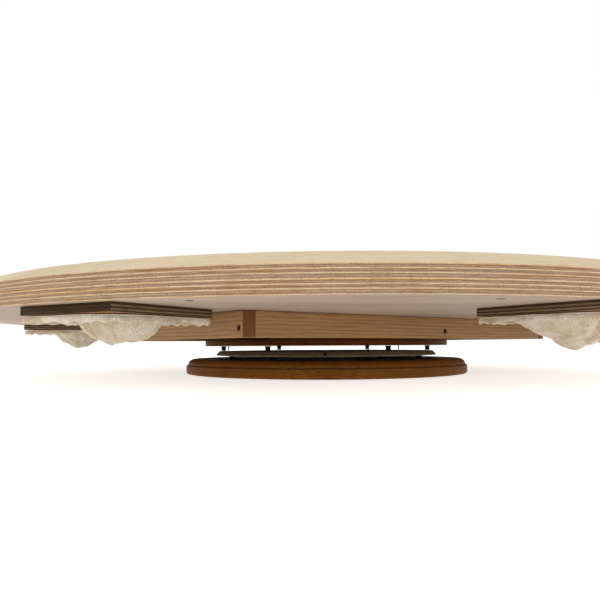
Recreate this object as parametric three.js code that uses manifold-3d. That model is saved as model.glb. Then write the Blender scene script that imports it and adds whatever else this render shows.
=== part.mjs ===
// A hand-built lazy susan: a bevelled birch plywood disc on a pine frame, carried by an aluminium
// ring bearing on a stained wooden base. Six plywood plates with gauze bags hang under its rim.
// Millimetres, +Z up. The origin is the middle of the base's underside. Angles are counted from
// the front (-Y) towards the right (+X).
import * as THREE from "three";
import { mergeVertices } from "three/addons/utils/BufferGeometryUtils.js";
import Module from "manifold-3d";

// Base board
const baseRadius = 150; // the lower band, its widest part
const baseThick = 15.3;
const bandHeight = 9;
const bandCorner = 2; // the band's rounded lower arris
const bandChamfer = 0.7; // its upper arris
const shoulderInset = 1.8; // how far the quarter round above it stands back
const quirkDepth = 0.8; // the small groove between the two
const quirkWidth = 0.8;
const crownWidth = 7; // the quarter round, measured along the radius

// Ring bearing
const padHeight = 2.6;
const padRadius = 3.4;
const padInset = 4.4; // from the fixed ring's outer face to the pads' middle
const padCount = 6;
const padTurn = -28.5; // from the front to the first pad
const ringLand = 0.4; // metal above and below the ball groove
const ringSplit = 108; // the radius of the ball row
const ringGap = 2; // between the two rings
const innerWidth = 16; // the fixed ring, measured along the radius
const outerWidth = 6.6; // the turning ring's top face, measured along the radius
const outerFlare = 3.3; // how much wider its lower edge is
const outerLip = 1.2; // height of the upright edge under the slope
const ballRadius = 1.6;
const ballCount = 12;
const ballPlay = 0.35; // between a ball and the grooves
const pocketPlay = 0.25; // between a ball and the cage
const cageThick = 0.9;
const cageLand = 0.2; // nylon above and below a pocket
const plugRadius = 1.6; // the grub screw that closes the ball filling hole
const plugSink = 0.6; // how far it stops short of the ring's slope

// Upper board on its spacers
const spacerHeight = 4.8;
const spacerRadius = 2.9;
const spacerCount = 6;
const spacerTurn = -28.5; // from the front to the first spacer
const boardMargin = 18; // from the spacers' circle to the board's edge
const boardThick = 5.8;
const tieRadius = 0.8; // thin screws beside the spacers
const tieAngles = [-100, 127.5];

// Pine frame
const frameLength = 396;
const frameWidth = 288;
const frameHeight = 19;
const railThick = 10.5;
const frameTurn = 40.5; // from the front to the square on the near rail
const crossOffset = 24.5; // the crosspiece from the middle of the rails
const screwHead = 2.3; // radius
const screwShank = 1.2; // radius
const screwTip = 3.6; // length of its point
const screwLength = 24;
const screwSink = 1; // how deep a head sits below the wood
const screwRise = 0.36; // height of the screws, as a share of the frame's
const boardScrewBite = 0.6; // how far up the crosspiece a board screw goes, as a share of its height
const boardScrewInset = 37; // from the upper board's edge to the screws that hold it

// Plywood disc
const discThick = 24.6;
const discReveal = 7.62; // from the plates' outer corners to the disc's rim
const bevelHeight = 8.4;
const bevelInset = 17.6;
const holeRadius = 2.8; // pilot holes in the underside
const holeDepth = 8;
const holeInset = 23.1; // from the disc's rim
const holeAngles = [-13.2, 17.2];

// Plates and bags
const platePairs = [-26.8, 33.5, 83]; // each plate has another straight across the disc
const plateLength = 90; // along the radius
const plateWidth = 80;
const plateThick = 5.5;
const plateGap = 5.2; // from the circle through the frame's corners to the plates
const bagDepth = 24;
const bagMargin = 2.5; // plate left bare round the bag
const bagHem = 3; // the straight gathered edge above the belly
const bagWaist = 7; // how far the belly starts inside the hem
const hemSquare = 9; // squareness of the hem's outline, where 2 is an ellipse
const bellySquare = 2.5; // the same for the belly under it

const seat = 0.3; // clearance between pieces that lie on or against each other
const holePlay = 0.3; // clearance round a screw or pin in its hole
const over = 1; // how far a cutter reaches past the surface it cuts

// Sides and steps of rounded shapes
const roundFine = 80;
const roundSmall = 12;
const roundBag = 32;
const roundBall = 10;
const bandSteps = 3;
const curveSteps = 4;
const bellySteps = 5;

const wasm = await Module();
wasm.setup();

const rad = THREE.MathUtils.degToRad;

// Radii that follow from the pieces inside them
const frameCorner = Math.hypot(frameLength / 2, frameWidth / 2);
const plateInner = frameCorner + plateGap;
const plateOuter = plateInner + plateLength;
const discRadius = Math.hypot(plateOuter, plateWidth / 2) + discReveal;

// Ball row
const groove = ballRadius + ballPlay;
const pocket = ballRadius + pocketPlay;
const ringThick = 2 * (groove + ringLand);
const cageHeight = 2 * (pocket + cageLand);
const innerFace = ringSplit - ringGap / 2;
const outerFace = ringSplit + ringGap / 2;
const outerTop = outerFace + outerWidth;
const padCircle = innerFace - padInset;
const spacerCircle = (outerFace + outerTop) / 2;
const boardRadius = spacerCircle + boardMargin;

// Levels, from the table up
const padBase = baseThick + seat;
const ringBottom = padBase + padHeight + seat;
const ringTop = ringBottom + ringThick;
const ballLevel = ringBottom + ringThick / 2;
const spacerBottom = ringTop + seat;
const boardBottom = spacerBottom + spacerHeight + seat;
const frameBottom = boardBottom + boardThick + seat;
const discBottom = frameBottom + frameHeight + seat;
const plateTop = discBottom - seat;
const bagTop = plateTop - plateThick - seat;

const finish = {
  stained: { color: 0x46290f, roughness: 0.35, metalness: 0 },
  darkBoard: { color: 0x4a2c14, roughness: 0.55, metalness: 0 },
  aluminium: { color: 0x8c8a84, roughness: 0.4, metalness: 1 },
  steel: { color: 0xb9b9b4, roughness: 0.2, metalness: 1 },
  blackened: { color: 0x1c1a19, roughness: 0.5, metalness: 0.6 },
  nylon: { color: 0xd9d4c6, roughness: 0.5, metalness: 0 },
  rubber: { color: 0x121110, roughness: 0.85, metalness: 0 },
  pine: { color: 0xb08a5c, roughness: 0.6, metalness: 0 },
  birch: { color: 0xd8c3a0, roughness: 0.55, metalness: 0 },
  darkPly: { color: 0x7a5c3c, roughness: 0.6, metalness: 0 },
  gauze: { color: 0xded2b8, roughness: 0.9, metalness: 0 },
};

const table = new THREE.Group();

// Adds a named mesh of a geometry in a finish to a parent
function piece(name, geometry, look, parent = table) {
  const mesh = new THREE.Mesh(geometry, new THREE.MeshStandardMaterial(finish[look]));
  mesh.name = name;
  parent.add(mesh);
  return mesh;
}

// A group turned about the axis, whose own front (-Y) faces the given angle
function turned(angle, parent = table) {
  const group = new THREE.Group();
  group.rotation.z = rad(angle);
  parent.add(group);
  return group;
}

// A solid turned about +Z from [radius, height] points, which start and end on the axis or close
function lathe(points, sides) {
  const outline = points.map(([r, z]) => new THREE.Vector2(r, z));
  return new THREE.LatheGeometry(outline, sides).rotateX(Math.PI / 2);
}

function rod(radius, bottom, top, sides) {
  return lathe([[0, bottom], [radius, bottom], [radius, top], [0, top]], sides);
}

function ring(inner, outer, bottom, top, sides) {
  return lathe([[inner, bottom], [outer, bottom], [outer, top], [inner, top], [inner, bottom]], sides);
}

// Points of a quarter circle in the [radius, height] plane, from one angle to another
function arc(cr, cz, radius, from, to, steps) {
  return Array.from({ length: steps + 1 }, (_, i) => {
    const a = rad(from + ((to - from) * i) / steps);
    return [cr + radius * Math.cos(a), cz + radius * Math.sin(a)];
  });
}

function solid(geometry) {
  const bare = geometry.index ? geometry.toNonIndexed() : geometry.clone();
  bare.deleteAttribute("normal");
  bare.deleteAttribute("uv");
  const merged = mergeVertices(bare, 1e-3);
  return new wasm.Manifold(
    new wasm.Mesh({
      numProp: 3,
      vertProperties: merged.attributes.position.array,
      triVerts: new Uint32Array(merged.index.array),
    }),
  );
}

// Cuts every tool out of a body and gives the result back as a geometry
function cut(body, tools) {
  const left = tools.reduce((made, tool) => made.subtract(solid(tool)), solid(body));
  const mesh = left.getMesh();
  const geometry = new THREE.BufferGeometry();
  geometry.setAttribute("position", new THREE.BufferAttribute(mesh.vertProperties, 3));
  geometry.setIndex(new THREE.BufferAttribute(mesh.triVerts, 1));
  geometry.computeVertexNormals();
  return geometry;
}

// Moves a geometry out from the axis to a radius and turns it round to an angle
function spun(geometry, radius, angle) {
  return geometry.translate(0, -radius, 0).rotateZ(rad(angle));
}

function baseBoard() {
  const shoulder = baseRadius - shoulderInset;
  const quirkTop = bandHeight + quirkWidth;
  const crown = arc(0, 0, 1, 0, 90, curveSteps).map(([x, z]) => [
    shoulder - crownWidth * (1 - x),
    quirkTop + (baseThick - quirkTop) * z,
  ]);
  return lathe(
    [
      [0, 0],
      ...arc(baseRadius - bandCorner, bandCorner, bandCorner, -90, 0, bandSteps),
      [baseRadius, bandHeight - bandChamfer],
      [baseRadius - bandChamfer, bandHeight],
      [shoulder - quirkDepth, bandHeight],
      [shoulder - quirkDepth, quirkTop],
      ...crown,
      [0, baseThick],
    ],
    roundFine,
  );
}

// Pads hold the fixed ring clear of the base
function pads() {
  for (let i = 0; i < padCount; i++) {
    const pad = rod(padRadius, padBase, padBase + padHeight, roundSmall);
    piece(`foot_pad_${i + 1}`, spun(pad, padCircle, padTurn + (i * 360) / padCount), "rubber");
  }
}

// The ball groove's section, cut into the face on the side that middle points to
function grooveArc(middle) {
  const open = THREE.MathUtils.radToDeg(Math.acos(ringGap / 2 / groove));
  return arc(ringSplit, ballLevel, groove, middle + open, middle - open, curveSteps);
}

function fixedRing() {
  return lathe(
    [
      [innerFace - innerWidth, ringBottom],
      [innerFace, ringBottom],
      ...grooveArc(180),
      [innerFace, ringTop],
      [innerFace - innerWidth, ringTop],
      [innerFace - innerWidth, ringBottom],
    ],
    roundFine,
  );
}

function turningRing() {
  const body = lathe(
    [
      [outerFace, ringBottom],
      [outerTop + outerFlare, ringBottom],
      [outerTop + outerFlare, ringBottom + outerLip],
      [outerTop, ringTop],
      [outerFace, ringTop],
      ...grooveArc(0),
      [outerFace, ringBottom],
    ],
    roundFine,
  );
  const reach = outerTop + outerFlare + over - ringSplit;
  const hole = new THREE.CylinderGeometry(plugRadius + holePlay, plugRadius + holePlay, reach, roundSmall);
  hole.translate(0, -ringSplit - reach / 2, ballLevel);
  return cut(body, [hole]);
}

// The grub screw ends just outside the ball row and just inside the ring's slope
function fillPlug() {
  const share = (ballLevel - ringBottom - outerLip) / (ringThick - outerLip);
  const slope = outerTop + outerFlare * (1 - share);
  const near = ringSplit + groove + holePlay;
  const length = slope - plugSink - near;
  const plug = new THREE.CylinderGeometry(plugRadius, plugRadius, length, roundSmall);
  return plug.translate(0, -(near + length / 2), ballLevel);
}

function ballCage() {
  const pockets = Array.from({ length: ballCount }, (_, i) => {
    const hole = new THREE.CylinderGeometry(pocket, pocket, cageThick + 2 * over, roundSmall);
    return spun(hole.translate(0, 0, ballLevel), ringSplit, (i * 360) / ballCount);
  });
  const low = ballLevel - cageHeight / 2;
  const half = cageThick / 2;
  return cut(ring(ringSplit - half, ringSplit + half, low, low + cageHeight, roundFine), pockets);
}

function balls() {
  for (let i = 0; i < ballCount; i++) {
    const ball = new THREE.SphereGeometry(ballRadius, roundBall, roundBall / 2).rotateX(Math.PI / 2);
    ball.translate(0, 0, ballLevel);
    piece(`ball_${i + 1}`, spun(ball, ringSplit, (i * 360) / ballCount), "steel");
  }
}

function spacers() {
  for (let i = 0; i < spacerCount; i++) {
    const spacer = rod(spacerRadius, spacerBottom, spacerBottom + spacerHeight, roundSmall);
    piece(`spacer_${i + 1}`, spun(spacer, spacerCircle, spacerTurn + (i * 360) / spacerCount), "blackened");
  }
}

function ties() {
  tieAngles.forEach((angle, i) => {
    const tie = rod(tieRadius, spacerBottom, spacerBottom + spacerHeight, roundSmall);
    piece(`tie_screw_${i + 1}`, spun(tie, spacerCircle, angle), "blackened");
  });
}

// A countersunk wood screw along -Z, its head's face at the origin
function woodScrew(length) {
  const neck = screwHead - screwShank;
  return lathe(
    [[0, -length], [screwShank, -length + screwTip], [screwShank, -neck], [screwHead, 0], [0, 0]],
    roundSmall,
  );
}

// The hole for that screw, open above its head
function screwHole(length) {
  const head = screwHead + holePlay;
  const shank = screwShank + holePlay;
  const neck = head - shank;
  const deep = length + holePlay;
  return lathe(
    [
      [0, -deep],
      [shank, -deep],
      [shank, -neck - holePlay],
      [head, -holePlay],
      [head, screwSink + over],
      [0, screwSink + over],
    ],
    roundSmall,
  );
}

// Where each frame screw goes: [name, place of its head's face, direction that it is driven in]
const endFace = frameLength / 2;
const sideFace = frameWidth / 2;
const screwLevel = frameBottom + frameHeight * screwRise;
const jointInset = railThick / 2;
const frameScrews = [];
for (const sx of [-1, 1]) {
  for (const sy of [-1, 1]) {
    frameScrews.push({
      name: `corner_screw_${frameScrews.length + 1}`,
      at: [sx * (endFace - screwSink), sy * (sideFace - jointInset), screwLevel],
      drive: [-sx, 0],
      board: sx < 0 ? "end_left" : "end_right",
      rail: sy < 0 ? "rail_front" : "rail_back",
    });
  }
}
for (const sy of [-1, 1]) {
  frameScrews.push({
    name: sy < 0 ? "cross_screw_front" : "cross_screw_back",
    at: [crossOffset, sy * (sideFace - screwSink), screwLevel],
    drive: [0, -sy],
    board: sy < 0 ? "rail_front" : "rail_back",
    rail: "cross",
  });
}

// Lays a screw or its hole, made along -Z, at its place and in its direction
function driven(geometry, screw) {
  const [dx, dy] = screw.drive;
  const turn = new THREE.Quaternion().setFromUnitVectors(
    new THREE.Vector3(0, 0, -1),
    new THREE.Vector3(dx, dy, 0),
  );
  return geometry.applyQuaternion(turn).translate(...screw.at);
}

const boardScrewLength = boardThick + frameHeight * boardScrewBite;
const boardScrewReach = Math.sqrt((boardRadius - boardScrewInset) ** 2 - crossOffset ** 2);
const boardScrewSpots = [-1, 1].map((side) => [crossOffset, side * boardScrewReach]);

// Lays an upward screw or its hole, made along -Z, under the upper board
function fromBelow(geometry, [x, y]) {
  return geometry.rotateX(Math.PI).translate(x, y, boardBottom + screwSink);
}

// A board's box between two corners, less the holes of the screws that touch it
function plank(name, [x0, y0], [x1, y1]) {
  const box = new THREE.BoxGeometry(x1 - x0, y1 - y0, frameHeight);
  box.translate((x0 + x1) / 2, (y0 + y1) / 2, frameBottom + frameHeight / 2);
  const holes = frameScrews
    .filter((screw) => screw.board === name || screw.rail === name)
    .map((screw) => driven(screwHole(screwLength), screw));
  if (name === "cross") {
    holes.push(...boardScrewSpots.map((spot) => fromBelow(screwHole(boardScrewLength), spot)));
  }
  return cut(box, holes);
}

function pineFrame() {
  const group = turned(frameTurn);
  const inEnd = endFace - railThick;
  const inSide = sideFace - railThick;
  const half = railThick / 2;
  piece("frame_end_left", plank("end_left", [-endFace, -sideFace], [-inEnd, sideFace]), "pine", group);
  piece("frame_end_right", plank("end_right", [inEnd, -sideFace], [endFace, sideFace]), "pine", group);
  const span = inEnd - seat;
  piece("frame_rail_front", plank("rail_front", [-span, -sideFace], [span, -inSide]), "pine", group);
  piece("frame_rail_back", plank("rail_back", [-span, inSide], [span, sideFace]), "pine", group);
  const reach = inSide - seat;
  const left = crossOffset - half;
  piece("frame_crosspiece", plank("cross", [left, -reach], [left + railThick, reach]), "pine", group);
  frameScrews.forEach((screw) => {
    piece(screw.name, driven(woodScrew(screwLength), screw), "blackened", group);
  });
  boardScrewSpots.forEach((spot, i) => {
    piece(`board_screw_${i + 1}`, fromBelow(woodScrew(boardScrewLength), spot), "blackened", group);
  });
}

function upperBoard() {
  const top = boardBottom + boardThick;
  const holes = boardScrewSpots.map((spot) =>
    fromBelow(screwHole(boardScrewLength), spot).rotateZ(rad(frameTurn)),
  );
  return cut(rod(boardRadius, boardBottom, top, roundFine), holes);
}

function disc() {
  const top = discBottom + discThick;
  const body = lathe(
    [
      [0, discBottom],
      [discRadius, discBottom],
      [discRadius, top - bevelHeight],
      [discRadius - bevelInset, top],
      [0, top],
    ],
    roundFine,
  );
  const pilots = holeAngles.map((angle) => {
    const pilot = rod(holeRadius, discBottom - over, discBottom + holeDepth, roundSmall);
    return spun(pilot, discRadius - holeInset, angle);
  });
  return cut(body, pilots);
}

// How much further a rounded square reaches at an angle than the circle inside it
function squareReach(angle, squareness) {
  const sum = Math.abs(Math.cos(angle)) ** squareness + Math.abs(Math.sin(angle)) ** squareness;
  return sum ** (-1 / squareness);
}

// A bag's solid: a straight hem that follows the plate's outline, then a rounded belly
function gauzeBag() {
  const hemBottom = bagTop - bagHem;
  const half = plateWidth / 2 - bagMargin;
  const waist = half - bagWaist;
  const points = [[0, bagTop - bagDepth]];
  for (let i = 1; i <= bellySteps; i++) {
    const a = rad((90 * i) / bellySteps);
    points.push([waist * Math.sin(a), hemBottom - (bagDepth - bagHem) * Math.cos(a)]);
  }
  points.push([half, hemBottom], [half, bagTop], [0, bagTop]);
  const bag = lathe(points, roundBag);
  const place = bag.attributes.position;
  const stretch = (plateLength / 2 - bagMargin) / half;
  for (let i = 0; i < place.count; i++) {
    const x = place.getX(i);
    const y = place.getY(i);
    const inHem = Math.hypot(x, y) > waist + seat;
    const reach = squareReach(Math.atan2(y, x), inHem ? hemSquare : bellySquare);
    place.setXY(i, x * reach, y * reach * stretch);
  }
  bag.computeVertexNormals();
  return bag;
}

function platesAndBags() {
  const angles = [...platePairs, ...platePairs.map((angle) => angle + 180)];
  angles.forEach((angle, i) => {
    const group = turned(angle);
    const middle = -(plateOuter - plateLength / 2);
    const plate = new THREE.BoxGeometry(plateWidth, plateLength, plateThick);
    plate.translate(0, middle, plateTop - plateThick / 2);
    piece(`plate_${i + 1}`, plate, "darkPly", group);
    piece(`bag_${i + 1}`, gauzeBag().translate(0, middle, 0), "gauze", group);
  });
}

piece("base_board", baseBoard(), "stained");
pads();
piece("bearing_inner_ring", fixedRing(), "aluminium");
piece("ball_cage", ballCage(), "nylon");
balls();
piece("bearing_outer_ring", turningRing(), "aluminium");
piece("fill_plug", fillPlug(), "blackened");
spacers();
ties();
piece("upper_board", upperBoard(), "darkBoard");
pineFrame();
piece("top_disc", disc(), "birch");
platesAndBags();

export default table;
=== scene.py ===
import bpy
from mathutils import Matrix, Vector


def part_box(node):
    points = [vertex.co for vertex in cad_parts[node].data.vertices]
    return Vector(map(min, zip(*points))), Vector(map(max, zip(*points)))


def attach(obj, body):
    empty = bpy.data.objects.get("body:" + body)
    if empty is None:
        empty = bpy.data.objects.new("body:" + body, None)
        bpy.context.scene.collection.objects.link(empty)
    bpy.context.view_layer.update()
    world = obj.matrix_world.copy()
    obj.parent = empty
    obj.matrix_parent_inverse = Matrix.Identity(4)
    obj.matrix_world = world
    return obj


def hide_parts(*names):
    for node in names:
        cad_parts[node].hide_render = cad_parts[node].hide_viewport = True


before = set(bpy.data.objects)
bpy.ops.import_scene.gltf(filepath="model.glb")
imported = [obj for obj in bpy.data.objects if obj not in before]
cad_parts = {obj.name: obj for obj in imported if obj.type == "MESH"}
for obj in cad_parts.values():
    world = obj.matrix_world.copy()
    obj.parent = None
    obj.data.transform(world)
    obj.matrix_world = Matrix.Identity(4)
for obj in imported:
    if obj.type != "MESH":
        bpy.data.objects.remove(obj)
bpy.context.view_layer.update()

import math

import bmesh
import bpy
from mathutils import Matrix, Vector, noise

mm = 0.001
seat = 0.3  # clearance between pieces that lie on each other, mm


def linearColour(code):
    parts = [int(code[i : i + 2], 16) / 255 for i in (1, 3, 5)]
    return [p / 12.92 if p <= 0.04045 else ((p + 0.055) / 1.055) ** 2.4 for p in parts] + [1.0]


# Adds one node: settings are its own properties, links are values or sockets for its inputs
def addNode(tree, kind, settings=None, links=None):
    node = tree.nodes.new("ShaderNode" + kind)
    for key, value in (settings or {}).items():
        if key != "stops":
            setattr(node, key, value)
            continue
        ramp = node.color_ramp
        ramp.elements.remove(ramp.elements[1])
        for count, (place, shade) in enumerate(value):
            stop = ramp.elements.new(place) if count else ramp.elements[0]
            stop.position = place
            stop.color = linearColour(shade)
    for name, value in (links or {}).items():
        socket = node.inputs[name]
        if isinstance(value, bpy.types.NodeSocket):
            tree.links.new(value, socket)
        else:
            socket.default_value = value
    return node


# Texture scale whose features are that many millimetres across
def perMm(size):
    return 1 / (size * mm)


def startMaterial(name, sockets):
    material = bpy.data.materials.new(name)
    material.use_nodes = True
    tree = material.node_tree
    shader = tree.nodes["Principled BSDF"]
    for key, value in sockets.items():
        shader.inputs[key].default_value = value
    return material, tree, shader


# The piece's own coordinates, shifted for each piece so that no two are cut from the same spot
def pieceCoords(tree, stretch=(1, 1, 1), shift=True):
    coords = addNode(tree, "TexCoord")
    place = coords.outputs["Object"]
    if shift:
        info = addNode(tree, "ObjectInfo")
        spread = addNode(tree, "Math", {"operation": "MULTIPLY"}, {0: info.outputs["Random"], 1: 3.7})
        place = addNode(tree, "VectorMath", {"operation": "ADD"}, {0: place, 1: spread.outputs[0]}).outputs[0]
    return addNode(tree, "Mapping", {}, {"Vector": place, "Scale": stretch}).outputs[0]


def bumped(tree, shader, height, depth, strength=1.0):
    bump = addNode(tree, "Bump", {}, {"Height": height, "Distance": depth * mm, "Strength": strength})
    tree.links.new(bump.outputs[0], shader.inputs["Normal"])


# Sanded plywood edge: the cut plies show as fine level lines, and end grain is darker and porous
def plywoodEdge(name, look, bottom):
    material, tree, shader = startMaterial(name, look["surface"])
    coords = addNode(tree, "TexCoord").outputs["Object"]
    z = addNode(tree, "SeparateXYZ", {}, {0: coords}).outputs[2]
    # plies waver a little where they were pressed over knots and laps
    slow = addNode(tree, "Mapping", {}, {"Vector": coords, "Scale": (1, 1, 2)}).outputs[0]
    waver = addNode(tree, "TexNoise", {}, {"Vector": slow, "Scale": perMm(38), "Detail": 2}).outputs[0]
    level = addNode(tree, "Math", {"operation": "SUBTRACT"}, {0: z, 1: bottom * mm}).outputs[0]
    layer = addNode(tree, "Math", {"operation": "MULTIPLY"}, {0: level, 1: perMm(look["repeat"])}).outputs[0]
    moved = addNode(
        tree, "Math", {"operation": "MULTIPLY_ADD"}, {0: waver, 1: look["waver"] / look["repeat"], 2: layer}
    ).outputs[0]
    turn = addNode(tree, "Math", {"operation": "FRACT"}, {0: moved}).outputs[0]
    plies = addNode(tree, "ValToRGB", {"stops": look["plies"]}, {0: turn}).outputs[0]
    # pores and torn fibre of the end grain, drawn at about twice their real size
    pores = addNode(
        tree, "TexNoise", {}, {"Vector": coords, "Scale": perMm(0.8), "Detail": 4, "Roughness": 0.7}
    )
    poreShade = addNode(
        tree, "ValToRGB", {"stops": [(0.3, look["pore"]), (0.52, "#ffffff")]}, {0: pores.outputs[0]}
    ).outputs[0]
    lying = addNode(tree, "Mapping", {}, {"Vector": coords, "Scale": (0.05, 0.05, 1)}).outputs[0]
    streaks = addNode(tree, "TexNoise", {}, {"Vector": lying, "Scale": perMm(0.5), "Detail": 3}).outputs[0]
    streakShade = addNode(
        tree, "ValToRGB", {"stops": [(0.32, look["streak"]), (0.55, "#ffffff")]}, {0: streaks}
    ).outputs[0]
    long = addNode(tree, "Mapping", {}, {"Vector": coords, "Scale": (0.03, 0.03, 1)}).outputs[0]
    patch = addNode(tree, "TexNoise", {}, {"Vector": long, "Scale": perMm(2.6), "Detail": 2}).outputs[0]
    patchShade = addNode(
        tree, "ValToRGB",
        {"stops": [(0.32, look["cool"]), (0.5, "#ffffff"), (0.68, look["warm"])]},
        {0: patch},
    ).outputs[0]
    shade = plies
    for layerShade in (poreShade, streakShade, patchShade):
        shade = addNode(
            tree, "Mix", {"data_type": "RGBA", "blend_type": "MULTIPLY"}, {0: 1.0, 6: shade, 7: layerShade}
        ).outputs[2]
    tree.links.new(shade, shader.inputs["Base Color"])
    bumped(tree, shader, pores.outputs[0], 0.12, 0.5)
    return material


# Wood cut lengthways: growth rings run as lines along X and as arcs on the ends
def solidWood(name, look):
    material, tree, shader = startMaterial(name, look["surface"])
    coords = pieceCoords(tree)
    long = addNode(tree, "Mapping", {}, {"Vector": coords, "Scale": (0.09, 1, 1)}).outputs[0]
    drift = addNode(tree, "TexNoise", {}, {"Vector": long, "Scale": perMm(look["drift"]), "Detail": 2})
    bent = addNode(
        tree, "VectorMath", {"operation": "MULTIPLY_ADD"},
        {0: drift.outputs["Color"], 1: (0, look["wander"] * mm, look["wander"] * mm), 2: coords},
    ).outputs[0]
    pith = addNode(
        tree, "Mapping", {}, {"Vector": bent, "Location": look["pith"], "Scale": (0.06, 1, 1)}
    ).outputs[0]
    rings = addNode(
        tree, "TexWave", {"wave_type": "RINGS", "rings_direction": "X", "wave_profile": "SAW"},
        {"Vector": pith, "Scale": math.pi * perMm(look["ring"]) / 10, "Distortion": 0.6, "Detail": 1},
    ).outputs["Fac"]
    tone = addNode(tree, "ValToRGB", {"stops": look["tones"]}, {0: rings}).outputs[0]
    fibre = addNode(tree, "Mapping", {}, {"Vector": coords, "Scale": look["fibre"]}).outputs[0]
    grain = addNode(
        tree, "TexNoise", {}, {"Vector": fibre, "Scale": perMm(0.7), "Detail": 4, "Roughness": 0.65}
    )
    shade = addNode(
        tree, "ValToRGB", {"stops": [(0.3, look["grainDark"]), (0.62, "#ffffff")]}, {0: grain.outputs[0]}
    ).outputs[0]
    mixed = addNode(
        tree, "Mix", {"data_type": "RGBA", "blend_type": "MULTIPLY"}, {0: 1.0, 6: tone, 7: shade}
    ).outputs[2]
    broad = addNode(tree, "TexNoise", {}, {"Vector": long, "Scale": perMm(26), "Detail": 1}).outputs[0]
    patch = addNode(
        tree, "ValToRGB", {"stops": [(0.3, look["patch"]), (0.65, "#ffffff")]}, {0: broad}
    ).outputs[0]
    final = addNode(
        tree, "Mix", {"data_type": "RGBA", "blend_type": "MULTIPLY"}, {0: 1.0, 6: mixed, 7: patch}
    ).outputs[2]
    tree.links.new(final, shader.inputs["Base Color"])
    low, high = look["gloss"]
    rough = addNode(tree, "MapRange", {}, {0: grain.outputs[0], 3: low, 4: high}).outputs[0]
    tree.links.new(rough, shader.inputs["Roughness"])
    bumped(tree, shader, grain.outputs[0], look["relief"], 0.6)
    return material


# Rotary-cut face veneer, sanded and bare: broad soft figure with short fine flecks
def veneer(name, look):
    material, tree, shader = startMaterial(name, {"Roughness": 0.6, "Specular IOR Level": 0.3})
    coords = pieceCoords(tree, shift=False)
    wide = addNode(tree, "Mapping", {}, {"Vector": coords, "Scale": (0.22, 1, 1)}).outputs[0]
    figure = addNode(
        tree, "TexNoise", {}, {"Vector": wide, "Scale": perMm(46), "Detail": 3, "Distortion": 1.4}
    ).outputs[0]
    tone = addNode(tree, "ValToRGB", {"stops": look["tones"]}, {0: figure}).outputs[0]
    thin = addNode(tree, "Mapping", {}, {"Vector": coords, "Scale": (0.1, 1, 1)}).outputs[0]
    flecks = addNode(
        tree, "TexNoise", {}, {"Vector": thin, "Scale": perMm(1.1), "Detail": 4, "Roughness": 0.7}
    )
    shade = addNode(
        tree, "ValToRGB", {"stops": [(0.33, look["fleck"]), (0.55, "#ffffff")]}, {0: flecks.outputs[0]}
    ).outputs[0]
    mixed = addNode(
        tree, "Mix", {"data_type": "RGBA", "blend_type": "MULTIPLY"}, {0: 1.0, 6: tone, 7: shade}
    ).outputs[2]
    tree.links.new(mixed, shader.inputs["Base Color"])
    bumped(tree, shader, flecks.outputs[0], 0.08, 0.4)
    return material


# Turned metal or plastic: fine rings from the tool, broken up by slight scuffs
def turnedFinish(name, sockets, tones, line, relief):
    material, tree, shader = startMaterial(name, sockets)
    coords = pieceCoords(tree, shift=False)
    marks = addNode(tree, "Mapping", {}, {"Vector": coords, "Scale": (0.12, 0.12, 1)}).outputs[0]
    lines = addNode(tree, "TexNoise", {}, {"Vector": marks, "Scale": perMm(line), "Detail": 3}).outputs[0]
    scuffs = addNode(tree, "TexNoise", {}, {"Vector": coords, "Scale": perMm(9), "Detail": 5}).outputs[0]
    both = addNode(tree, "Math", {"operation": "MULTIPLY_ADD"}, {0: lines, 1: 0.5, 2: scuffs}).outputs[0]
    half = addNode(tree, "Math", {"operation": "MULTIPLY"}, {0: both, 1: 0.67}).outputs[0]
    tone = addNode(tree, "ValToRGB", {"stops": tones}, {0: half}).outputs[0]
    tree.links.new(tone, shader.inputs["Base Color"])
    start = sockets["Roughness"]
    rough = addNode(
        tree, "MapRange", {}, {0: scuffs, 1: 0.3, 2: 0.7, 3: start * 0.8, 4: start * 1.25}
    ).outputs[0]
    tree.links.new(rough, shader.inputs["Roughness"])
    bumped(tree, shader, lines, relief, 0.5)
    return material


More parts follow.
